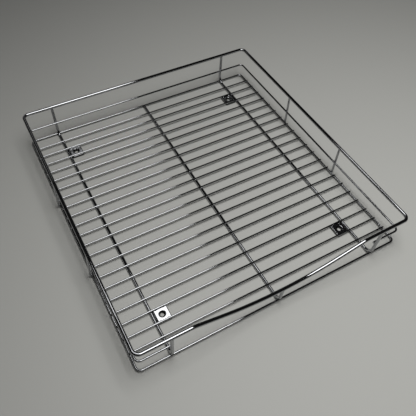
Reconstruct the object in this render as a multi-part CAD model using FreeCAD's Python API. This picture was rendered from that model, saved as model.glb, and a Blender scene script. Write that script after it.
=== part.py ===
import FreeCAD, Part
import math
import os

# A shallow wire basket that rolls out of a kitchen base cabinet.
# Three rims, three runners, side uprights, cross wires and four mounting plates are separate
# pieces of plated steel, welded where they touch. Millimetres, +Z up, +X right, -Y front.
# The origin is the middle of the footprint, on the plane that the runners rest on.

# Overall size
basket_width = 520.0
basket_depth = 551.3
basket_height = 77.4

# Wire diameters
top_rim_dia = 6.3
mid_rim_dia = 3.8
bottom_rim_dia = 4.0
runner_dia = 5.7
side_upright_dia = 4.6
cross_wire_dia = 3.2

# How far a thinner wire beds into the one it is welded to
weld_set = 0.3

# Floor: cross wires on top of the runners and of the bottom rim's side runs
cross_wire_count = 21
floor_end_gap = 32.5
cross_wire_setback = 1.0

# Runners: an outer one stands this far in from the side, and turns up into a wall upright
runner_inset = 60.9
runner_bend_radius = 15.5

# Walls
mid_rim_height = 35.2
top_rim_corner_radius = 10.5
mid_rim_corner_radius = 8.0
bottom_rim_corner_radius = 8.0
bottom_rim_inset = 1.0
mid_rim_past_upright = 2.0
side_upright_pitches = 7
side_upright_lean = 3.5

# Hand dip in the front of the top rim: a bend, a straight slope, then one long arc
dip_inset_from_upright = 35.9
dip_slope_run = 52.0
dip_slope_degrees = 16.0
dip_bend_radius = 50.0

# Mounting plates: pressed caps beside the outer runners, with a countersunk screw hole
plate_width = 25.2
plate_past_wire = 1.6
plate_sheet = 1.5
plate_corner_radius = 3.0
plate_edge_radius = 1.5
plate_pitches_from_end = 1.5
screw_hole_dia = 7.0
countersink_dia = 12.4
countersink_half_angle = 45.0
screw_hole_land = 1.0

# Places that follow from the sizes
runner_z = runner_dia / 2
bottom_rim_z = runner_dia - bottom_rim_dia / 2
cross_wire_z = runner_dia + cross_wire_dia / 2 - weld_set
top_rim_z = basket_height - top_rim_dia / 2
floor_clearance_plane = cross_wire_z - cross_wire_dia / 2

upright_y = basket_depth / 2 - top_rim_dia / 2
top_rim_x = basket_width / 2 - top_rim_dia / 2
bottom_rim_x = basket_width / 2 - bottom_rim_inset - bottom_rim_dia / 2
runner_x = basket_width / 2 - runner_inset
mid_rim_y = upright_y - runner_dia / 2 - mid_rim_dia / 2 + weld_set
cross_wire_pitch = 2 * (upright_y - floor_end_gap) / (cross_wire_count - 1)

# The bottom rim lies in the outer corner of the runners' bends and just touches them
bend_to_rim = runner_bend_radius + runner_dia / 2 + bottom_rim_dia / 2
bend_rise_over_rim = runner_z + runner_bend_radius - bottom_rim_z
bottom_rim_y = upright_y - runner_bend_radius + math.sqrt(bend_to_rim ** 2 - bend_rise_over_rim ** 2)

# The side uprights stand outside the bottom and mid rims and lean in under the top rim
side_upright_y = side_upright_pitches * cross_wire_pitch / 2
side_upright_foot_x = basket_width / 2 - bottom_rim_inset + side_upright_dia / 2 - weld_set
side_upright_foot_z = bottom_rim_z - bottom_rim_dia / 2
side_upright_top_x = side_upright_foot_x - side_upright_lean
side_upright_top_z = top_rim_z - top_rim_dia / 4
lean_per_height = side_upright_lean / (side_upright_top_z - side_upright_foot_z)
upright_x_at_mid_rim = side_upright_foot_x - lean_per_height * (mid_rim_height - side_upright_foot_z)
mid_rim_x = upright_x_at_mid_rim - side_upright_dia / 2 - mid_rim_dia / 2 + weld_set

# The hand dip
dip_half_span = runner_x - dip_inset_from_upright
dip_slope = math.radians(dip_slope_degrees)
dip_arc_half_span = dip_half_span - dip_slope_run
dip_arc_radius = dip_arc_half_span / math.cos(dip_slope) / math.tan(dip_slope)
dip_apex_z = top_rim_z - dip_half_span * math.tan(dip_slope)
dip_low_z = dip_apex_z + dip_arc_radius * (1 / math.cos(dip_slope) - 1)

# The plates fill the corner between an outer runner and two cross wires
plate_x = runner_x - runner_dia / 2 - plate_width / 2
plate_y = ((cross_wire_count - 1) / 2 - plate_pitches_from_end) * cross_wire_pitch
plate_length = cross_wire_pitch + 2 * plate_past_wire
plate_top_z = floor_clearance_plane


def point(x, y, z):
    return FreeCAD.Vector(x, y, z)


def rounded_path(corners, radii, closed):
    """Straight runs through the corners, joined by tangent arcs of the given radii."""
    count = len(corners)
    bends = {}
    for i, radius in enumerate(radii):
        if radius is None:
            bends[i] = (corners[i], None, corners[i])
            continue
        corner = corners[i]
        back = (corners[i - 1] - corner).normalize()
        ahead = (corners[(i + 1) % count] - corner).normalize()
        half_angle = back.getAngle(ahead) / 2
        reach = radius / math.tan(half_angle)
        bisector = (back + ahead).normalize()
        middle = corner + bisector * (radius / math.sin(half_angle) - radius)
        bends[i] = (corner + back * reach, middle, corner + ahead * reach)
    edges = []
    for i in range(count):
        start, middle, end = bends[i]
        if middle is not None:
            edges.append(Part.Arc(start, middle, end).toShape())
        if i < count - 1 or closed:
            edges.append(Part.LineSegment(end, bends[(i + 1) % count][0]).toShape())
    return Part.Wire(edges)


def bent_wire(path, diameter):
    """Round wire along a path of runs and arcs."""
    first = path.Edges[0]
    section = Part.Circle(first.valueAt(first.FirstParameter), first.tangentAt(first.FirstParameter), diameter / 2)
    return path.makePipeShell([Part.Wire(section.toShape())], True, False)


def straight_wire(start, end, diameter):
    """Round wire between two points."""
    run = end - start
    return Part.makeCylinder(diameter / 2, run.Length, start, run)


def top_rim():
    """Closed rim of the thickest wire, whose front run dips for the hand."""
    corners = [
        point(top_rim_x, upright_y, top_rim_z),
        point(-top_rim_x, upright_y, top_rim_z),
        point(-top_rim_x, -upright_y, top_rim_z),
        point(-dip_half_span, -upright_y, top_rim_z),
        point(0, -upright_y, dip_apex_z),
        point(dip_half_span, -upright_y, top_rim_z),
        point(top_rim_x, -upright_y, top_rim_z),
    ]
    corner = top_rim_corner_radius
    radii = [corner, corner, corner, dip_bend_radius, dip_arc_radius, dip_bend_radius, corner]
    return bent_wire(rounded_path(corners, radii, True), top_rim_dia)


def mid_rim():
    """Rim at half height, open at the front: it stops behind the two front uprights."""
    stub_x = runner_x - mid_rim_past_upright
    corners = [
        point(stub_x, -mid_rim_y, mid_rim_height),
        point(mid_rim_x, -mid_rim_y, mid_rim_height),
        point(mid_rim_x, mid_rim_y, mid_rim_height),
        point(-mid_rim_x, mid_rim_y, mid_rim_height),
        point(-mid_rim_x, -mid_rim_y, mid_rim_height),
        point(-stub_x, -mid_rim_y, mid_rim_height),
    ]
    corner = mid_rim_corner_radius
    return bent_wire(rounded_path(corners, [None, corner, corner, corner, corner, None], False), mid_rim_dia)


def bottom_rim():
    """Closed rectangular rim, level with the runners' tops."""
    corners = [
        point(bottom_rim_x, bottom_rim_y, bottom_rim_z),
        point(-bottom_rim_x, bottom_rim_y, bottom_rim_z),
        point(-bottom_rim_x, -bottom_rim_y, bottom_rim_z),
        point(bottom_rim_x, -bottom_rim_y, bottom_rim_z),
    ]
    return bent_wire(rounded_path(corners, [bottom_rim_corner_radius] * 4, True), bottom_rim_dia)


def outer_runner(x):
    """Runner that turns up at both ends into uprights under the top rim."""
    corners = [
        point(x, upright_y, top_rim_z),
        point(x, upright_y, runner_z),
        point(x, -upright_y, runner_z),
        point(x, -upright_y, top_rim_z),
    ]
    bend = runner_bend_radius
    return bent_wire(rounded_path(corners, [None, bend, bend, None], False), runner_dia)


def centre_runner():
    """Runner that butts against the bottom rim behind and turns up to the dip in front."""
    corners = [
        point(0, bottom_rim_y - bottom_rim_dia / 2, runner_z),
        point(0, -upright_y, runner_z),
        point(0, -upright_y, dip_low_z),
    ]
    return bent_wire(rounded_path(corners, [None, runner_bend_radius, None], False), runner_dia)


def side_upright(side, y):
    """Straight upright outside the rims, leaning in so that its top meets the top rim's underside."""
    foot = point(side * side_upright_foot_x, y, side_upright_foot_z)
    top = point(side * side_upright_top_x, y, side_upright_top_z)
    return straight_wire(foot, top, side_upright_dia)


def cross_wire(y, carriers):
    """Straight wire across the floor, bedded into the wires that carry it."""
    half_length = basket_width / 2 - bottom_rim_inset - cross_wire_setback
    wire = straight_wire(point(-half_length, y, cross_wire_z), point(half_length, y, cross_wire_z), cross_wire_dia)
    return wire.cut(carriers)


def rounded_block(width, length, low, high, radius):
    """Upright block about the Z axis with its four vertical edges rounded."""
    block = Part.makeBox(width, length, high - low, point(-width / 2, -length / 2, low))
    upright_edges = [e for e in block.Edges if abs(e.tangentAt(e.FirstParameter).z) > 0.5]
    return block.makeFillet(radius, upright_edges)


def mounting_plate(x, y):
    """Pressed cap with turned-down edges and a dimple that seats a countersunk screw."""
    cap = rounded_block(plate_width, plate_length, 0, plate_top_z, plate_corner_radius)
    top_edges = [e for e in cap.Edges if min(v.Z for v in e.Vertexes) > plate_top_z - plate_sheet / 2]
    cap = cap.makeFillet(plate_edge_radius, top_edges)
    hollow_width = plate_width - 2 * plate_sheet
    hollow_length = plate_length - 2 * plate_sheet
    hollow_radius = plate_corner_radius - plate_sheet
    cap = cap.cut(rounded_block(hollow_width, hollow_length, 0, plate_top_z - plate_sheet, hollow_radius))

    spread = math.tan(math.radians(countersink_half_angle))
    wall_offset = plate_sheet / math.cos(math.radians(countersink_half_angle))
    cone_depth = (countersink_dia - screw_hole_dia) / 2 / spread
    dimple_depth = cone_depth + screw_hole_land
    outer_foot = countersink_dia / 2 - dimple_depth * spread + wall_offset
    outer_head = outer_foot + dimple_depth * spread
    dimple = Part.makeCone(outer_foot, outer_head, dimple_depth, point(0, 0, plate_top_z - dimple_depth))
    dimple = dimple.common(rounded_block(hollow_width, hollow_length, 0, plate_top_z, hollow_radius))
    cone_foot = point(0, 0, plate_top_z - cone_depth)
    countersink = Part.makeCone(screw_hole_dia / 2, countersink_dia / 2, cone_depth, cone_foot)
    hole = Part.makeCylinder(screw_hole_dia / 2, plate_top_z)
    plate = cap.fuse(dimple).cut([countersink, hole]).removeSplitter()
    plate.translate(point(x, y, 0))
    return plate


def whole(shape):
    """The single solid of a shape that cuts have wrapped in a compound."""
    return shape.Solids[0] if len(shape.Solids) == 1 else shape


def build():
    """Every piece by its node name."""
    rim_top = top_rim()
    rim_bottom = bottom_rim()
    left = outer_runner(-runner_x)
    right = outer_runner(runner_x)
    centre = centre_runner()
    rim_mid = mid_rim().cut([left, right])

    pieces = {
        "top_rim": rim_top,
        "mid_rim": rim_mid,
        "bottom_rim": rim_bottom,
        "left_runner": left.cut(rim_top),
        "centre_runner": centre.cut(rim_top),
        "right_runner": right.cut(rim_top),
    }
    for side, side_name in ((-1, "left"), (1, "right")):
        for y, end_name in ((side_upright_y, "rear"), (-side_upright_y, "front")):
            upright = side_upright(side, y).cut([rim_bottom, rim_mid, rim_top])
            pieces[f"{side_name}_side_upright_{end_name}"] = upright
            pieces[f"mounting_plate_{side_name}_{end_name}"] = mounting_plate(
                side * plate_x, math.copysign(plate_y, y))
    carriers = [left, centre, right, rim_bottom]
    rear_wire_y = (cross_wire_count - 1) / 2 * cross_wire_pitch
    for i in range(cross_wire_count):
        pieces[f"cross_wire_{i + 1:02d}"] = cross_wire(rear_wire_y - i * cross_wire_pitch, carriers)
    return {name: whole(shape) for name, shape in pieces.items()}


def main():
    os.makedirs("parts", exist_ok=True)
    for name, shape in build().items():
        box = shape.BoundBox
        print(f"{name:28s} {len(shape.Solids)} solid, valid {shape.isValid()}, {shape.Volume:9.1f} mm3,"
              f" x {box.XMin:.2f} {box.XMax:.2f}, y {box.YMin:.2f} {box.YMax:.2f}, z {box.ZMin:.2f} {box.ZMax:.2f}")
        shape.exportStep(os.path.join("parts", name + ".step"))


main()
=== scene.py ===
# %% [markdown]
# A shallow basket of welded, chrome plated wire, which rolls out of a kitchen base cabinet.
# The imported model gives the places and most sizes. What no box shows, such as the radius of a
# bend, is written here as it is in the model. This script dresses it: it makes each wire round
# and bright, puts the welds where wires cross, presses the mounting plates and lights the lot.
# Everything is in metres, +Z up, the front rail towards -Y.

# %% Load the frame
import math

import bmesh
import bpy
from mathutils import Matrix, Vector


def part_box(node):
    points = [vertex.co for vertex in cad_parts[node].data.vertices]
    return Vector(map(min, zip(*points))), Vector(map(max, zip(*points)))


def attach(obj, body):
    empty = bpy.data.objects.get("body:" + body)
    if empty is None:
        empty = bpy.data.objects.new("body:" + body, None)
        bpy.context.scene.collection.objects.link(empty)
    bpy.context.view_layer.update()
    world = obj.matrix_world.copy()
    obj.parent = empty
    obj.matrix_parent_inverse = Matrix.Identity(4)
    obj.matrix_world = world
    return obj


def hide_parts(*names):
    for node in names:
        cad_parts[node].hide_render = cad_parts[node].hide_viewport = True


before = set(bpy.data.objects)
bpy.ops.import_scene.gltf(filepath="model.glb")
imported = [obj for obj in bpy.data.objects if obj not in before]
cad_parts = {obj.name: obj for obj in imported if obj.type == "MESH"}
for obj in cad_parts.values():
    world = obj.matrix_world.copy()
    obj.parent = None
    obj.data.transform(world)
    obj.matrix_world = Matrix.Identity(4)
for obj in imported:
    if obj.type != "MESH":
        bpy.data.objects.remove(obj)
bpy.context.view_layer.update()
MM = 0.001

# %% [markdown]
# The wires of the real basket come in stock thicknesses. Most of them can be measured on the
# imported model: a straight or flatly bent wire's box is as thin as the wire. Only the top rim dips
# out of its plane, so its thickness is written down, and so is the depth to which one wire sinks
# into another when they are welded.

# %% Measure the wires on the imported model
X, Y, Z = range(3)


def span(node, axis):
    """Size of a node along X, Y or Z."""
    low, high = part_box(node)
    return high[axis] - low[axis]


def middle(node, axis):
    """Middle of a node along X, Y or Z."""
    low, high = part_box(node)
    return (low[axis] + high[axis]) / 2


cross_names = sorted(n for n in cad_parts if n.startswith("cross_wire_"))
plate_names = sorted(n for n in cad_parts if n.startswith("mounting_plate_"))
upright_names = sorted(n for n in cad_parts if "_side_upright_" in n)

cross_dia = span(cross_names[0], Z)
mid_dia = span("mid_rim", Z)
bottom_dia = span("bottom_rim", Z)
runner_dia = span("left_runner", X)
side_dia = span(upright_names[0], Y)
top_dia = 6.3 * MM
weld_set = 0.3 * MM
for wire, dia in (("cross", cross_dia), ("mid rim", mid_dia), ("bottom rim", bottom_dia),
                  ("runner", runner_dia), ("side upright", side_dia), ("top rim", top_dia)):
    print(f"{wire} wire: {dia / MM:.1f} mm")

# %% [markdown]
# A wire is drawn along its axis, so every box gives the place of an axis too: half a thickness in
# from its outer side. The runners' uprights stand right under the top rim's front and back runs,
# so they share its axis. The cross wires are evenly spaced, and the first and the last give the
# step.


# %% Where the axes run
def wire_axis(node, dia):
    """Where a wire's axis runs on the right, at the rear and at the top of its node."""
    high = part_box(node)[1]
    return [high[axis] - dia / 2 for axis in (X, Y, Z)]


top_x = span("top_rim", X) / 2 - top_dia / 2
upright_y = span("top_rim", Y) / 2 - top_dia / 2
top_z = wire_axis("top_rim", top_dia)[Z]
mid_x, mid_y, mid_z = wire_axis("mid_rim", mid_dia)
bottom_x, bottom_y, bottom_z = wire_axis("bottom_rim", bottom_dia)
runner_x = wire_axis("right_runner", runner_dia)[X]
runner_z = runner_dia / 2
cross_z = wire_axis(cross_names[0], cross_dia)[Z]
cross_half = span(cross_names[0], X) / 2
first_cross_y = middle(cross_names[0], Y)
cross_pitch = (first_cross_y - middle(cross_names[-1], Y)) / (len(cross_names) - 1)
print(f"{len(cross_names)} cross wires, {cross_pitch / MM:.2f} mm apart")
print(f"runners {runner_x / MM:.1f} mm from the middle, top rim {top_z / MM:.1f} mm above the ground")

# %% [markdown]
# Nodes can be typed in one by one, but long chains of them are hard to read. A small class wraps
# a socket, so that sums read as sums: 1 - chance makes a Math node. One method makes every other
# node from its type, its settings and what goes into its sockets. It serves shaders and geometry.


# %% A socket that takes part in expressions
class Socket:
    """An output socket of a node tree, with the arithmetic that this script needs."""

    def __init__(self, tree, output):
        self.tree = tree
        self.output = output

    def maths(self, operation, first, second):
        node = self.tree.nodes.new("ShaderNodeMath")
        node.operation = operation
        for socket, value in zip(node.inputs, (first, second)):
            plug(self.tree, socket, value)
        return Socket(self.tree, node.outputs[0])

    def __add__(self, other):
        return self.maths("ADD", self, other)

    __radd__ = __add__

    def __rsub__(self, other):
        return self.maths("SUBTRACT", other, self)

    def __mul__(self, other):
        return self.maths("MULTIPLY", self, other)

    def __truediv__(self, other):
        return self.maths("DIVIDE", self, other)


def plug(tree, socket, value):
    """Links a Socket, or sets a plain value."""
    if isinstance(value, Socket):
        tree.links.new(value.output, socket)
    else:
        socket.default_value = value


class Tree:
    """A node tree that is built by calls."""

    def __init__(self, tree):
        self.tree = tree

    def make(self, kind, settings=None, sockets=None, output=0):
        """A node of that kind. Its settings are set first, then its sockets by name or number.

        Returns one of its outputs, also by name or number, or the node itself if it has none.
        """
        node = self.tree.nodes.new(kind)
        for name, value in (settings or {}).items():
            setattr(node, name, value)
        for name, value in (sockets or {}).items():
            plug(self.tree, node.inputs[name], value)
        return Socket(self.tree, node.outputs[output]) if node.outputs else node


# %% [markdown]
# Chrome plate is a mirror with a faint blue grey tint. One colour and one roughness would make
# it a perfect mirror, which no real plating is. What makes it look real is what disturbs it: a
# gentle unevenness of the plating, fine lines along the drawn wire, and a film of handling that
# dulls it in patches. All three are noise on Object coordinates, so they stay put on the metal.
# The roughness and a weak bump carry them, and the colour hardly changes.
#
# The screw seats and the turned-down edges of the plates get painted shade: below a height that wanders a
# little, their colour is painted dark and they are duller than their tops.

# %% Chrome
PATCHES_PER_METRE = 24.0
FILM_FROM, FILM_TO = 0.45, 0.75
FILM_SHADE = 0.93
GRAIN_ACROSS, GRAIN_ALONG = 900.0, 12.0
GRAIN_SHARE = 0.12
# Painted shade on the plates: how it fades in, how its height wanders, its dark colour and the roughness
# it adds.
PAINTED_SHADE_FADE = 0.7 * MM
PAINTED_SHADE_WANDER = 0.6 * MM
PAINTED_SHADE_COLOUR = (0.08, 0.08, 0.08, 1.0)
PAINTED_SHADE_DULLNESS = 0.15


def mix_colours(tree, share, first, second):
    """Two colours mixed. On a Mix node, inputs 6 and 7 and output 2 are the ones for colours."""
    return tree.make("ShaderNodeMix", {"data_type": "RGBA"}, {0: share, 6: first, 7: second}, output=2)


def chrome(name, tint, rough, film, ripple_size, ripple_depth, grain_axis=None, painted_shade_below=None):
    """Plated metal: a tint, its roughness, what a film of handling adds, and a ripple in the plating.

    Along grain_axis run fine drawn lines. Below the height given as the last argument, the colour is
    painted dark as shade, and the surface is duller.
    """
    material = bpy.data.materials.new(name)
    material.use_nodes = True
    material.node_tree.nodes.clear()
    tree = Tree(material.node_tree)
    place = tree.make("ShaderNodeTexCoord", output="Object")

    patches = tree.make("ShaderNodeTexNoise", None, {
        "Vector": place, "Scale": PATCHES_PER_METRE, "Detail": 3.0})
    smudge = tree.make("ShaderNodeMapRange", None, {
        "Value": patches, "From Min": FILM_FROM, "From Max": FILM_TO})
    roughness = rough + smudge * film

    height = tree.make("ShaderNodeTexNoise", None, {
        "Vector": place, "Scale": 1 / ripple_size, "Detail": 2.0})
    if grain_axis is not None:
        stretch = [GRAIN_ACROSS] * 3
        stretch[grain_axis] = GRAIN_ALONG
        drawn = tree.make("ShaderNodeMapping", None, {"Vector": place, "Scale": stretch})
        lines = tree.make("ShaderNodeTexNoise", None, {"Vector": drawn, "Scale": 1.0, "Detail": 1.0})
        height = height + lines * GRAIN_SHARE
    bump = tree.make("ShaderNodeBump", None, {"Height": height, "Strength": 1.0, "Distance": ripple_depth})

    dulled = [FILM_SHADE * channel for channel in tint]
    colour = mix_colours(tree, smudge, (*tint, 1.0), (*dulled, 1.0))
    # Painted shade: below the height, the colour turns dark and the surface duller.
    if painted_shade_below is not None:
        up = tree.make("ShaderNodeSeparateXYZ", None, {"Vector": place}, output="Z")
        uneven = up + patches * PAINTED_SHADE_WANDER
        painted_shade = tree.make("ShaderNodeMapRange", None, {
            "Value": uneven, "From Min": painted_shade_below, "From Max": painted_shade_below - PAINTED_SHADE_FADE})
        colour = mix_colours(tree, painted_shade, colour, PAINTED_SHADE_COLOUR)
        roughness = roughness + painted_shade * PAINTED_SHADE_DULLNESS
    surface = tree.make("ShaderNodeBsdfPrincipled", None, {
        "Base Color": colour, "Metallic": 1.0, "Roughness": roughness, "Normal": bump})
    tree.make("ShaderNodeOutputMaterial", None, {"Surface": surface})
    return material


WIRE_TINT = (0.40, 0.405, 0.415)
PLATE_TINT = (0.50, 0.505, 0.515)
WELD_TINT = (0.50, 0.50, 0.51)
# The plates get painted shade below this height, on their skirts and in their screw seats.
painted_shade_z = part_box(plate_names[0])[1].z - 0.3 * MM
heavy_chrome = chrome("heavy_wire_chrome", WIRE_TINT, rough=0.05, film=0.05,
                      ripple_size=12.0 * MM, ripple_depth=0.006 * MM)
floor_chrome = chrome("floor_wire_chrome", WIRE_TINT, rough=0.06, film=0.05,
                      ripple_size=12.0 * MM, ripple_depth=0.003 * MM, grain_axis=X)
plate_chrome = chrome("plate_chrome", PLATE_TINT, rough=0.08, film=0.08,
                      ripple_size=6.0 * MM, ripple_depth=0.008 * MM, painted_shade_below=painted_shade_z)
weld_chrome = chrome("weld_chrome", WELD_TINT, rough=0.16, film=0.16,
                     ripple_size=0.7 * MM, ripple_depth=0.05 * MM)
print("materials:", [m.name for m in bpy.data.materials])

# %% [markdown]
# Three geometry trees are used below, and all have the same frame. A mesh and a few named inputs
# go in, and real, smooth geometry with its material comes out. Two functions make that frame, so
# that each tree holds only what is its own.

# %% The frame of a geometry tree
INPUT_KINDS = {"number": "NodeSocketFloat", "count": "NodeSocketInt", "material": "NodeSocketMaterial"}


def geometry_tree(name, inputs):
    """An empty geometry tree with a mesh and these inputs. Returns its Tree and its input Sockets."""
    group = bpy.data.node_groups.new(name, "GeometryNodeTree")
    group.interface.new_socket("Geometry", in_out="INPUT", socket_type="NodeSocketGeometry")
    for label, kind in inputs.items():
        group.interface.new_socket(label, in_out="INPUT", socket_type=INPUT_KINDS[kind])
    group.interface.new_socket("Geometry", in_out="OUTPUT", socket_type="NodeSocketGeometry")
    source = group.nodes.new("NodeGroupInput")
    return Tree(group), [Socket(group, output) for output in source.outputs[:len(inputs) + 1]]


def finish_tree(tree, geometry, material):
    """Ends a geometry tree: real, smooth geometry with its material."""
    real = tree.make("GeometryNodeRealizeInstances", None, {"Geometry": geometry})
    smooth = tree.make("GeometryNodeSetShadeSmooth", None, {"Geometry": real, "Shade Smooth": True})
    painted = tree.make("GeometryNodeSetMaterial", None, {"Geometry": smooth, "Material": material})
    tree.make("NodeGroupOutput", None, {0: painted})
    return tree.tree


def attribute(tree, name, kind="FLOAT"):
    """The value that each point carries under that name."""
    return tree.make("GeometryNodeInputNamedAttribute", {"data_type": kind}, {"Name": name})


# %% [markdown]
# Every bent wire of the basket follows one rule: straight runs between corners, and at each
# corner a bend of its own radius. Each could be a bevelled curve with handles set by eye, but a
# bender works with straight runs and radii, so the tree does too, and one tree makes them all. A
# mesh of points and edges says where the corners are, and three attributes say how tight each
# bend is, in how many steps it turns, and how thick the wire is there. The tree rounds the corners
# with Fillet Curve and sweeps a circle along the line.


# %% The tree that bends a wire
def bent_wire_tree():
    """Rounds the corners of a line and sweeps a circle along it."""
    tree, (line, diameter, sides, material) = geometry_tree(
        "bent_wire", {"Wire Diameter": "number", "Sides": "count", "Material": "material"})
    curve = tree.make("GeometryNodeMeshToCurve", None, {"Mesh": line})
    rounded = tree.make("GeometryNodeFilletCurve", {"mode": "POLY"}, {
        "Curve": curve, "Radius": attribute(tree, "bend_radius"),
        "Count": attribute(tree, "bend_steps", "INT")})
    shaped = tree.make("GeometryNodeSetCurveRadius", None, {
        "Curve": rounded, "Radius": attribute(tree, "girth")})
    section = tree.make("GeometryNodeCurvePrimitiveCircle", None, {
        "Resolution": sides, "Radius": diameter / 2})
    wire = tree.make("GeometryNodeCurveToMesh", None, {
        "Curve": shaped, "Profile Curve": section, "Fill Caps": True})
    return finish_tree(tree, wire, material)


wire_group = bent_wire_tree()
print("inputs:", [i.name for i in wire_group.interface.items_tree if i.in_out == "INPUT"])

# %% [markdown]
# A Geometry Nodes modifier keeps its inputs under identifiers, not under their names, and they
# are set before the object is first evaluated. The finished piece is a plain mesh: the export
# and the frame both want real vertices, and no modifier is left on it.


# %% Run a tree and keep the plain mesh
def plain_piece(name, source, group, values):
    """Runs a node group on a mesh with these inputs, and returns the result as a plain mesh object."""
    carrier = bpy.data.objects.new(name + "_source", source)
    bpy.context.scene.collection.objects.link(carrier)
    modifier = carrier.modifiers.new("nodes", "NODES")
    modifier.node_group = group
    for item in group.interface.items_tree:
        if item.in_out == "INPUT" and item.name in values:
            modifier[item.identifier] = values[item.name]
    bpy.context.view_layer.update()
    evaluated = carrier.evaluated_get(bpy.context.evaluated_depsgraph_get())
    mesh = bpy.data.meshes.new_from_object(evaluated)
    mesh.name = name
    bpy.data.objects.remove(carrier)
    bpy.data.meshes.remove(source)
    piece = bpy.data.objects.new(name, mesh)
    bpy.context.scene.collection.objects.link(piece)
    return piece


# %% [markdown]
# The line that a wire follows is written as its corners. Most open wires also have cut ends. A
# shear leaves them almost square, and plating rounds the edge, so the last few tenths of a
# millimetre narrow in a quarter circle. The edge's size is a share of the wire's thickness.
#
# A round wire is made of flat sides, so the thick wires get more of them than the thin ones.

# %% The line of a wire
BEND_STEPS = 14
END_EDGE = 0.16
END_STEPS = 4


class Line:
    """Corners of one wire, with the radius and steps of each bend and the girth at each point."""

    def __init__(self):
        self.points, self.radii, self.steps, self.girths = [], [], [], []

    def add(self, point, radius=0.0, steps=1, girth=1.0):
        self.points.append(Vector(point))
        self.radii.append(radius)
        self.steps.append(steps)
        self.girths.append(girth)
        return self

    def bend(self, point, radius, steps=BEND_STEPS):
        return self.add(point, radius, steps)

    def end(self, rows):
        """The first or the last end of the wire, given as places and girths from its tip inwards."""
        for place, girth in reversed(rows) if self.points else rows:
            self.add(place, girth=girth)
        return self

    def cut_end(self, point, inward, diameter):
        """A sheared and plated end at that point. inward is the direction into the wire."""
        edge = END_EDGE * diameter
        rows = []
        for i in range(END_STEPS + 1):
            turn = math.pi / 2 * i / END_STEPS
            depth = edge * (1 - math.cos(turn))
            girth = 1 - 2 * END_EDGE * (1 - math.sin(turn))
            rows.append((Vector(point) + Vector(inward).normalized() * depth, girth))
        return self.end(rows)

    def pressed_end(self, point, collar):
        """The upper end of an upright inside the wire above it, with its collar below."""
        return self.end([(Vector(point) - Vector((0, 0, depth)), girth) for depth, girth in collar])

    def mesh(self, closed):
        mesh = bpy.data.meshes.new("line")
        count = len(self.points)
        edges = [(i, (i + 1) % count) for i in range(count if closed else count - 1)]
        mesh.from_pydata(self.points, edges, [])
        for name, kind, values in (("bend_radius", "FLOAT", self.radii),
                                   ("bend_steps", "INT", self.steps),
                                   ("girth", "FLOAT", self.girths)):
            mesh.attributes.new(name, kind, "POINT").data.foreach_set("value", values)
        return mesh


def wire_piece(name, line, diameter, material, closed=False, sides=28):
    """A finished wire along a line, as a plain mesh object."""
    return plain_piece(name + "_wire", line.mesh(closed), wire_group,
                       {"Wire Diameter": diameter, "Sides": sides, "Material": material})


# %% [markdown]
# A finished piece has to face outwards, or its shading and its volume come out wrong. Then it rides on the
# basket, which is one rigid body, and stands for the imported pieces that it dresses.


# %% Keep a finished piece
def faces_outwards(piece):
    """True where the piece's volume, summed from its faces, comes out positive."""
    shape = bmesh.new()
    shape.from_mesh(piece.data)
    volume = shape.calc_volume(signed=True)
    shape.free()
    return volume > 0


def keep(piece, slot, *nodes):
    """Lets a finished piece ride on the basket in place of CAD nodes, and prints what it is."""
    if not faces_outwards(piece):
        piece.data.flip_normals()
    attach(piece, "root")
    if nodes:
        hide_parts(*nodes)
    print(f"{piece.name}: {len(piece.data.polygons)} faces, {piece.dimensions.x / MM:.1f} x"
          f" {piece.dimensions.y / MM:.1f} x {piece.dimensions.z / MM:.1f} mm")


# %% [markdown]
# The top rim is the thickest wire, a closed loop that ties all uprights together. Its front run
# dips, so that a hand can take hold of the basket: a bend, a straight slope, and one long arc.
# The dip could be a lattice or a proportional edit of a straight run. As three corners with large
# radii it needs no points in between, and the arc's radius isn't guessed: it touches both slopes,
# so it follows from where the arc starts and how steep the slope is.

# %% Top rim
top_corner = 10.5 * MM
dip_from_upright = 35.9 * MM
dip_slope_run = 52.0 * MM
dip_slope = math.radians(16.0)
dip_bend = 50.0 * MM
DIP_BEND_STEPS, DIP_ARC_STEPS = 8, 36

dip_half = runner_x - dip_from_upright
arc_half = dip_half - dip_slope_run
arc_radius = arc_half / math.cos(dip_slope) / math.tan(dip_slope)
apex_z = top_z - dip_half * math.tan(dip_slope)
dip_low_z = apex_z + arc_radius * (1 / math.cos(dip_slope) - 1)
print(f"dip: {(top_z - dip_low_z) / MM:.1f} mm deep, arc radius {arc_radius / MM:.0f} mm")

top_line = Line()
top_line.bend((top_x, upright_y, top_z), top_corner)
top_line.bend((-top_x, upright_y, top_z), top_corner)
top_line.bend((-top_x, -upright_y, top_z), top_corner)
top_line.bend((-dip_half, -upright_y, top_z), dip_bend, DIP_BEND_STEPS)
top_line.bend((0, -upright_y, apex_z), arc_radius, DIP_ARC_STEPS)
top_line.bend((dip_half, -upright_y, top_z), dip_bend, DIP_BEND_STEPS)
top_line.bend((top_x, -upright_y, top_z), top_corner)
top_rim = wire_piece("top_rim", top_line, top_dia, heavy_chrome, closed=True, sides=40)
keep(top_rim, "frame_wire", "top_rim")

# %% [markdown]
# The other two rims keep what lies in the basket from slipping out, and they are simpler. The
# bottom rim is a closed rectangle on the level of the floor. The mid rim is open in front, where
# its two ends stop just past the front uprights, so that they can be welded to them. Both could
# be put together from cylinders and quarter rings, but one swept line has no seams at the bends.

# %% Mid rim and bottom rim
rim_corner = 8.0 * MM
past_upright = 2.0 * MM
stub_x = runner_x - past_upright
mid_line = Line().cut_end((stub_x, -mid_y, mid_z), (1, 0, 0), mid_dia)
for x, y in ((mid_x, -mid_y), (mid_x, mid_y), (-mid_x, mid_y), (-mid_x, -mid_y)):
    mid_line.bend((x, y, mid_z), rim_corner)
mid_line.cut_end((-stub_x, -mid_y, mid_z), (-1, 0, 0), mid_dia)
keep(wire_piece("mid_rim", mid_line, mid_dia, heavy_chrome), "frame_wire", "mid_rim")

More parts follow.
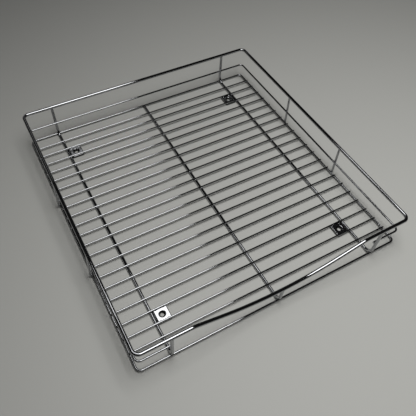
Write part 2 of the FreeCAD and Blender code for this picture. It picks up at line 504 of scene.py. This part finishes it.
bottom_line = Line()
for x, y in ((bottom_x, bottom_y), (-bottom_x, bottom_y), (-bottom_x, -bottom_y), (bottom_x, -bottom_y)):
    bottom_line.bend((x, y, bottom_z), rim_corner)
bottom_rim = wire_piece("bottom_rim", bottom_line, bottom_dia, heavy_chrome, closed=True)
keep(bottom_rim, "frame_wire", "bottom_rim")

# %% [markdown]
# Three runners carry the floor. The outer two turn up at both ends and carry the top rim too, and
# the centre one turns up in front, under the dip. An end that is pressed against another wire
# while the current flows swells a little, so the uprights get a slight collar just under the rim.
# It could be a ring of its own. Here the wire itself gets thicker, as the metal does: the collar
# is a row of depths below the wire's end, and how thick the wire is there. Its upper part is
# inside the rim.

# %% Runners
runner_bend = 15.5 * MM
COLLAR = ((0.0, 1.0), (0.5 * MM, 1.13), (1.1 * MM, 1.15), (1.9 * MM, 1.05), (2.8 * MM, 1.0))
COLLAR_INSIDE = 0.8 * MM


def pressed_z(rim_z):
    """Height of a pressed upright's end, a little inside the top rim above it."""
    return rim_z - top_dia / 2 + COLLAR_INSIDE


for side, name in ((-1, "left_runner"), (1, "right_runner")):
    x = side * runner_x
    runner_line = Line().pressed_end((x, upright_y, pressed_z(top_z)), COLLAR)
    runner_line.bend((x, upright_y, runner_z), runner_bend)
    runner_line.bend((x, -upright_y, runner_z), runner_bend)
    runner_line.pressed_end((x, -upright_y, pressed_z(top_z)), COLLAR)
    keep(wire_piece(name, runner_line, runner_dia, heavy_chrome), "frame_wire", name)

centre_line = Line().add((0, bottom_y - bottom_dia / 2 + weld_set, runner_z))
centre_line.bend((0, -upright_y, runner_z), runner_bend)
centre_line.pressed_end((0, -upright_y, pressed_z(dip_low_z)), COLLAR)
keep(wire_piece("centre_runner", centre_line, runner_dia, heavy_chrome), "frame_wire", "centre_runner")

# %% [markdown]
# Two uprights on each side stand outside the bottom rim and the mid rim, and lean in a little, so
# that their tops end under the top rim. They are plain lengths of wire, cut at both ends. A
# cylinder would do, but a line gives them the same rounded ends as every other cut wire. Only
# their place along Y is read from their boxes, because the lean widens the boxes along X.

# %% Side uprights
foot_x = bottom_x + bottom_dia / 2 + side_dia / 2 - weld_set
lean = 3.5 * MM
side_top_z = top_z - top_dia / 4
side_foot_z = bottom_z - bottom_dia / 2
side_y = max(middle(name, Y) for name in upright_names)
upright_spots = {name: (-1 if name.startswith("left") else 1, side_y if name.endswith("rear") else -side_y)
                 for name in upright_names}


def side_x(z):
    """Distance of a side upright's axis from the middle plane, at a height."""
    return foot_x - lean * (z - side_foot_z) / (side_top_z - side_foot_z)


for name, (side, y) in upright_spots.items():
    foot = Vector((side * side_x(side_foot_z), y, side_foot_z))
    top = Vector((side * side_x(side_top_z), y, side_top_z))
    side_line = Line().cut_end(foot, top - foot, side_dia).cut_end(top, foot - top, side_dia)
    keep(wire_piece(name, side_line, side_dia, heavy_chrome, sides=24), "frame_wire", name)

# %% [markdown]
# The floor is one wire, twenty-one times. Copying an object twenty-one times would do, but a node
# tree that instances one wire along a line keeps the count and the spacing as two inputs. The
# instances are realized at the end, because the export leaves instances out.


# %% Floor wires
def repeat_tree():
    """Sets copies of one wire behind each other, from the rear to the front."""
    tree, (wire, count, pitch, first, material) = geometry_tree("repeat_along_y", {
        "Count": "count", "Pitch": "number", "First Y": "number", "Material": "material"})
    start = tree.make("ShaderNodeCombineXYZ", None, {"Y": first})
    step = tree.make("ShaderNodeCombineXYZ", None, {"Y": pitch * -1.0})
    places = tree.make("GeometryNodeMeshLine", None, {
        "Count": count, "Start Location": start, "Offset": step})
    copies = tree.make("GeometryNodeInstanceOnPoints", None, {"Points": places, "Instance": wire})
    return finish_tree(tree, copies, material)


floor_line = Line().cut_end((-cross_half, 0, cross_z), (1, 0, 0), cross_dia)
floor_line.cut_end((cross_half, 0, cross_z), (-1, 0, 0), cross_dia)
one_wire = wire_piece("one_cross", floor_line, cross_dia, floor_chrome, sides=20)
one_mesh = one_wire.data
bpy.data.objects.remove(one_wire)
floor_wires = plain_piece("floor_wires", one_mesh, repeat_tree(), {
    "Count": len(cross_names), "Pitch": cross_pitch, "First Y": first_cross_y, "Material": floor_chrome})
keep(floor_wires, "floor_wire", *cross_names)

# %% [markdown]
# Wires are welded by squeezing them together and passing a current. A little metal is pressed
# out of each crossing and freezes as a small bright bulge. It is small, but a basket without it
# looks like loose sticks. One squashed ball is instanced on every crossing, with sizes and turns
# given by attributes and a little chance from a fixed seed.

# %% The tree that sets welds on points
BALL_SEGMENTS, BALL_RINGS = 14, 8


def weld_tree():
    """Sets a squashed ball on each point, with its size and turn and a little chance."""
    tree, (places, uneven, seed, material) = geometry_tree(
        "welds_on_points", {"Unevenness": "number", "Seed": "count", "Material": "material"})
    size = attribute(tree, "weld_size", "FLOAT_VECTOR")
    turn = attribute(tree, "weld_turn", "FLOAT_VECTOR")
    least, most, number = 2, 3, 1  # the places of its sockets for plain numbers
    chance = tree.make("FunctionNodeRandomValue", {"data_type": "FLOAT"},
                       {least: 1 - uneven, most: 1 + uneven, "Seed": seed}, output=number)
    scaled = tree.make("ShaderNodeVectorMath", {"operation": "SCALE"}, {0: size, "Scale": chance})
    turned = tree.make("FunctionNodeEulerToRotation", None, {"Euler": turn})
    ball = tree.make("GeometryNodeMeshUVSphere", None, {
        "Segments": BALL_SEGMENTS, "Rings": BALL_RINGS, "Radius": 1.0})
    placed = tree.make("GeometryNodeInstanceOnPoints", None, {
        "Points": places, "Instance": ball, "Rotation": turned, "Scale": scaled})
    return finish_tree(tree, placed, material)


# %% [markdown]
# Two wires that touch are welded. Under the floor the welds lie flat between a cross wire and
# what it rests on. On the uprights they stand, because there the wires touch side by side. At the
# runners' ends the bottom rim lies in the outer corner of the bend, so the weld is tilted towards
# the bend's centre. The rear end of the centre runner has no bend and is butted against the rim.
#
# Half sizes are given along X, Y and Z. The last three values move two kinds of weld off the
# wires' axes: outwards by a share of the top rim's half thickness, and down.

# %% Where the welds are
FLOOR_ON_RUNNER = (2.0 * MM, 2.15 * MM, 0.85 * MM)
FLOOR_ON_RIM = (1.6 * MM, 1.95 * MM, 0.75 * MM)
RIM_ON_SIDE_UPRIGHT = (0.8 * MM, 2.6 * MM, 2.0 * MM)
SIDE_UPRIGHT_UNDER_TOP = (1.5 * MM, 2.6 * MM, 1.4 * MM)
MID_RIM_ON_RUNNER = (2.6 * MM, 0.8 * MM, 2.0 * MM)
RUNNER_END_ON_RIM = (2.6 * MM, 1.2 * MM, 2.0 * MM)
RIM_IN_BEND = (2.3 * MM, 2.0 * MM, 0.8 * MM)
UNDER_TOP_OUT_SHARE = 0.6
UNDER_TOP_DOWN = 1.2 * MM
RUNNER_END_DOWN = 0.3 * MM

weld_places, weld_sizes, weld_turns = [], [], []


def weld(place, size, turn=(0.0, 0.0, 0.0)):
    """One weld: its middle, its half sizes and its turn."""
    weld_places.append(Vector(place))
    weld_sizes.append(Vector(size))
    weld_turns.append(Vector(turn))


runner_xs = (-runner_x, 0.0, runner_x)
contact_z = cross_z - cross_dia / 2 + weld_set / 2
for i in range(len(cross_names)):
    y = first_cross_y - i * cross_pitch
    for x in runner_xs:
        weld((x, y, contact_z), FLOOR_ON_RUNNER)
    for side in (-1, 1):
        weld((side * bottom_x, y, contact_z), FLOOR_ON_RIM)

for side, y in upright_spots.values():
    for rim_z, rim_x, rim_dia in ((bottom_z, bottom_x, bottom_dia), (mid_z, mid_x, mid_dia)):
        weld((side * (rim_x + rim_dia / 2), y, rim_z), RIM_ON_SIDE_UPRIGHT)
    weld((side * (top_x + UNDER_TOP_OUT_SHARE * top_dia / 2), y, side_top_z - UNDER_TOP_DOWN),
         SIDE_UPRIGHT_UNDER_TOP)

for side in (-1, 1):
    for end in (-1, 1):
        weld((side * runner_x, end * (mid_y + mid_dia / 2), mid_z), MID_RIM_ON_RUNNER)

bend_centre_y = upright_y - runner_bend
bend_centre_z = runner_z + runner_bend
for x in runner_xs:
    for end in (-1, 1):
        if x == 0.0 and end == 1:
            weld((0.0, bottom_y - bottom_dia / 2, bottom_z - RUNNER_END_DOWN), RUNNER_END_ON_RIM)
        else:
            inward = Vector((0, end * (bend_centre_y - bottom_y), bend_centre_z - bottom_z)).normalized()
            touch = Vector((x, end * bottom_y, bottom_z)) + inward * bottom_dia / 2
            tilt = math.atan2(inward.z, inward.y) - math.pi / 2
            weld(touch, RIM_IN_BEND, (tilt, 0.0, 0.0))
print(len(weld_places), "welds")

# %% [markdown]
# The list becomes a mesh of loose points, which carries sizes and turns as attributes. The tree
# turns it into one piece that rides on the basket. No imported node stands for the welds.

# %% Make the welds
UNEVENNESS, SEED = 0.12, 7
weld_points = bpy.data.meshes.new("weld_points")
weld_points.from_pydata(weld_places, [], [])
for name, values in (("weld_size", weld_sizes), ("weld_turn", weld_turns)):
    flat = [number for vector in values for number in vector]
    weld_points.attributes.new(name, "FLOAT_VECTOR", "POINT").data.foreach_set("vector", flat)
welds = plain_piece("welds", weld_points, weld_tree(), {
    "Unevenness": UNEVENNESS, "Seed": SEED, "Material": weld_chrome})
keep(welds, "frame_wire")

# %% [markdown]
# The mounting plates are pressed from sheet. Seen from above they are small caps with rounded
# corners and turned-down edges, a dimple in the middle that seats a countersunk screw, and four
# round projections that melt into the wires when the plate is welded on. A cap could be cut from
# a box with Boolean and Bevel modifiers. A chain of closed rings gives cleaner metal: even quads
# and exact radii, from the skirt's foot over the edge and into the hole, and back below.

# %% Outline and rings of a plate
plate_low, plate_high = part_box(plate_names[0])
plate_half = (plate_high - plate_low) / 2
plate_top = plate_high.z
sheet = 1.5 * MM
plate_corner = 3.0 * MM
edge_radius = 1.5 * MM
hole_radius = 3.5 * MM
mouth_radius = 6.2 * MM
land = 1.0 * MM
RING_POINTS = 192
RING_TURNS = [math.tau * (i + 0.5) / RING_POINTS for i in range(RING_POINTS)]
print(f"plate: {plate_half.x * 2 / MM:.1f} x {plate_half.y * 2 / MM:.1f} mm, {plate_top / MM:.1f} mm high")


def outline(inset, z):
    """A ring along the plate's rounded outline, moved inwards by inset."""
    half_x, half_y = plate_half.x - inset, plate_half.y - inset
    radius = plate_corner - inset
    ring = []
    for turn in RING_TURNS:
        ray = Vector((math.cos(turn), math.sin(turn)))
        spot = ray * min(half_x / abs(ray.x), half_y / abs(ray.y))
        corner = Vector((math.copysign(half_x - radius, ray.x), math.copysign(half_y - radius, ray.y)))
        if abs(spot.x) > abs(corner.x) and abs(spot.y) > abs(corner.y):
            along = ray.dot(corner)
            spot = ray * (along + math.sqrt(max(along ** 2 - corner.length_squared + radius ** 2, 0.0)))
        ring.append(Vector((spot.x, spot.y, z)))
    return ring


def circle(radius, z):
    """A round ring about the screw hole."""
    return [Vector((radius * math.cos(turn), radius * math.sin(turn), z)) for turn in RING_TURNS]


def rounding(centre_r, centre_z, radius, start, end, steps):
    """Radii and heights along an arc in the plate's section, angles in degrees from the radius."""
    for i in range(steps + 1):
        turn = math.radians(start + (end - start) * i / steps)
        yield centre_r + radius * math.cos(turn), centre_z + radius * math.sin(turn)


# %% [markdown]
# The rings run from one shape to the next: the outer side of the skirt, the rounded edge, the
# flat top, the bend into the mouth, the 45 degree cone, the short straight hole, and then back
# along the underside, one sheet thickness away. The skirt's foot is flat between two shares of
# the sheet, with a bevel on either side.

# %% Press a plate
FOOT_BEVEL = 0.15 * MM
FOOT_FLAT = (0.6, 0.4)
TOP_MARGIN = 1.2 * MM
EDGE_STEPS, MOUTH_STEPS, LIP_STEPS = 6, 5, 3
mouth_bend = 1.0 * MM
lip = 0.25 * MM
lip_drop = 0.15 * MM
CONE = math.radians(45)


def plate_rings():
    """All rings of a plate, from the foot of its skirt over the top and back below."""
    rings = [outline(0.0, FOOT_BEVEL), outline(0.0, plate_top - edge_radius)]
    for i in range(1, EDGE_STEPS + 1):
        turn = math.pi / 2 * i / EDGE_STEPS
        inset = edge_radius * (1 - math.cos(turn))
        rings.append(outline(inset, plate_top - edge_radius * (1 - math.sin(turn))))
    rings.append(outline(edge_radius + TOP_MARGIN, plate_top))

    mouth_r = mouth_radius + mouth_bend * math.tan(CONE / 2)
    for r, z in rounding(mouth_r, plate_top - mouth_bend, mouth_bend, 90, 135, MOUTH_STEPS):
        rings.append(circle(r, z))
    cone_foot = plate_top - (mouth_radius - hole_radius)
    for r, z in rounding(hole_radius + lip, cone_foot - lip_drop, lip, 135, 180, LIP_STEPS):
        rings.append(circle(r, z))

    hole_foot = cone_foot - land
    under = plate_top - sheet
    outer_foot = hole_radius + sheet / math.cos(CONE) - land
    rings += [circle(hole_radius, hole_foot), circle(outer_foot, hole_foot),
              circle(outer_foot + (under - hole_foot), under),
              outline(sheet, under), outline(sheet, FOOT_BEVEL)]
    return rings + [outline(sheet * share, 0.0) for share in FOOT_FLAT]


def join_rings(shape, rings, closed):
    """Skins rings of points with quads, and from the last ring to the first where closed."""
    rows = [[shape.verts.new(place) for place in ring] for ring in rings]
    for row, following in zip(rows, rows[1:] + (rows[:1] if closed else [])):
        for i in range(len(row)):
            j = (i + 1) % len(row)
            shape.faces.new((row[i], row[j], following[j], following[i]))
    return rows


# %% [markdown]
# Each projection is a stack of rings as well, on a bell curve. Its top ring keeps a share of a
# step as its radius, so that it is still a ring and can be closed with one flat face.

# %% Add the projections and set the plates
PROJECTION_X = 7.0 * MM
PROJECTION_INSET = 1.3 * MM
PROJECTION_RADIUS, PROJECTION_HEIGHT = 1.8 * MM, 1.0 * MM
PROJECTION_SUNK = 0.02 * MM
PROJECTION_STEPS, PROJECTION_POINTS = 7, 28
TIP_SHARE = 0.2


def add_projections(shape):
    """Four low round bosses beside the wires that the plate is welded to."""
    projection_y = cross_pitch / 2 - PROJECTION_INSET
    turns = [math.tau * i / PROJECTION_POINTS for i in range(PROJECTION_POINTS)]
    for x in (-PROJECTION_X, PROJECTION_X):
        for y in (-projection_y, projection_y):
            rings = []
            for k in range(PROJECTION_STEPS + 1):
                share = 1 - k / (PROJECTION_STEPS + TIP_SHARE)
                r = PROJECTION_RADIUS * share
                rise = PROJECTION_HEIGHT * (1 + math.cos(math.pi * share)) / 2
                z = plate_top + rise - PROJECTION_SUNK
                rings.append([(x + r * math.cos(turn), y + r * math.sin(turn), z) for turn in turns])
            rows = join_rings(shape, rings, closed=False)
            shape.faces.new(rows[-1])
            shape.faces.new(list(reversed(rows[0])))


def plate_mesh():
    """One plate with its projections, its screw hole on the Z axis."""
    shape = bmesh.new()
    join_rings(shape, plate_rings(), closed=True)
    add_projections(shape)
    bmesh.ops.recalc_face_normals(shape, faces=shape.faces)
    mesh = bpy.data.meshes.new("plate")
    shape.to_mesh(mesh)
    shape.free()
    for face in mesh.polygons:
        face.use_smooth = True
    return mesh


plate = plate_mesh()
for name in plate_names:
    mesh = plate.copy()
    mesh.transform(Matrix.Translation((middle(name, X), middle(name, Y), 0)))
    mesh.materials.append(plate_chrome)
    piece = bpy.data.objects.new(name + "_pressed", mesh)
    bpy.context.scene.collection.objects.link(piece)
    keep(piece, "plate", name)
bpy.data.meshes.remove(plate)

# %% [markdown]
# The floor below the basket is a plain pale sheet, so that nothing but the basket draws the eye.
# It is part of the stage and not of the basket.

# %% Ground
GROUND_REACH = 4.0
GROUND_COLOUR = (0.30, 0.30, 0.283, 1.0)
GROUND_ROUGHNESS = 0.6
ground_corners = [(x * GROUND_REACH, y * GROUND_REACH, 0) for x, y in ((-1, -1), (1, -1), (1, 1), (-1, 1))]
ground_mesh = bpy.data.meshes.new("ground")
ground_mesh.from_pydata(ground_corners, [], [(0, 1, 2, 3)])
ground = bpy.data.objects.new("ground", ground_mesh)
bpy.context.scene.collection.objects.link(ground)
ground_paint = bpy.data.materials.new("ground_paint")
ground_paint.use_nodes = True
shader = ground_paint.node_tree.nodes["Principled BSDF"]
shader.inputs["Base Color"].default_value = GROUND_COLOUR
shader.inputs["Roughness"].default_value = GROUND_ROUGHNESS
ground_mesh.materials.append(ground_paint)
print(f"ground: {ground.dimensions.x:.0f} x {ground.dimensions.y:.0f} m")

# %% [markdown]
# The camera stands in front of the basket's left side and looks down on it. Its place and its
# axes give the same vanishing lines as the reference picture, and its 40 mm lens sees about what
# the eye sees. The axes are made square to each other before they are used.

# %% Camera
camera_data = bpy.data.cameras.new("camera")
camera_data.sensor_width = 36.0
camera_data.lens = 40.32
camera_data.shift_x = 0.0192
camera = bpy.data.objects.new("camera", camera_data)
bpy.context.scene.collection.objects.link(camera)
eye = Vector((-0.30192, -0.49922, 0.71679))
to_right = Vector((0.87766, -0.47807, 0.03392)).normalized()
backwards = Vector((-0.31025, -0.51277, 0.80050))
upwards = backwards.cross(to_right).normalized()
backwards = to_right.cross(upwards)
aim = Matrix((to_right, upwards, backwards)).transposed()
camera.matrix_world = Matrix.Translation(eye) @ aim.to_4x4()
bpy.context.scene.camera = camera
print("camera axes:", [tuple(round(v, 4) for v in camera.matrix_world.col[i][:3]) for i in range(3)])

# %% [markdown]
# Chrome shows what stands around it, so the lights are shaped like what it should mirror: soft
# panels with dark between them. The ceiling's straight right edge is what splits every floor wire
# into a white half and a black half. Two smaller parts of the ceiling give the lengthwise wires
# their thin bright core, and a tall panel behind the basket gives the uprights their sheen.
#
# A panel that is bright enough to light the ground would be far too bright in the mirror. So the
# ground has a soft light of its own, which the metal doesn't mirror.


# %% Lights
def panel(name, place, target, size, power):
    """A rectangular soft light that faces a point."""
    data = bpy.data.lights.new(name, "AREA")
    data.shape = "RECTANGLE"
    data.size, data.size_y = size
    data.energy = power
    light = bpy.data.objects.new(name, data)
    bpy.context.scene.collection.objects.link(light)
    facing = (Vector(target) - Vector(place)).to_track_quat("-Z", "Y")
    light.matrix_world = Matrix.Translation(place) @ facing.to_matrix().to_4x4()
    print(f"{name}: {data.size:.2f} x {data.size_y:.2f} m, {data.energy:.2f} W")
    return light


def power_for(glow, size):
    """The power that makes a panel's face look as bright as glow, whatever its size."""
    return glow * math.pi * size[0] * size[1]


CEILING_HEIGHT = 1.5


def ceiling(name, low, high, glow):
    """A lit part of the ceiling between two corners."""
    size = Vector(high) - Vector(low)
    centre = (Vector(low) + Vector(high)) / 2
    panel(name, (*centre, CEILING_HEIGHT), (*centre, 0), size, power_for(glow, size))


ceiling("ceiling", (-0.35, -0.9), (0.39, 0.25), 3.8)
ceiling("ceiling_tail", (-0.03, 0.25), (0.39, 0.62), 2.4)
ceiling("ceiling_left", (-0.75, 0.45), (-0.3, 0.75), 1.8)
WALL_SIZE = (0.6, 1.3)
panel("back_wall", (0.0, 2.2, 1.75), (0.0, 0.0, 1.75), WALL_SIZE, power_for(0.35, WALL_SIZE))
softbox = panel("softbox", (0.22, -0.32, 1.6), (0.6, -0.7, 0), (0.9, 0.9), 15.5)
softbox.data.spread = math.radians(130)
softbox.visible_glossy = False

# %% [markdown]
# The rest of the room is nearly black, because the dark side of the wires is black on the real
# basket. The colours are shown as they are, with no film look over them.

# %% Room
ROOM_COLOUR = (0.012, 0.012, 0.012, 1.0)
world = bpy.data.worlds.new("room")
world.use_nodes = True
world.node_tree.nodes["Background"].inputs["Color"].default_value = ROOM_COLOUR
bpy.context.scene.world = world
bpy.context.scene.view_settings.view_transform = "Standard"
print("view transform:", bpy.context.scene.view_settings.view_transform)
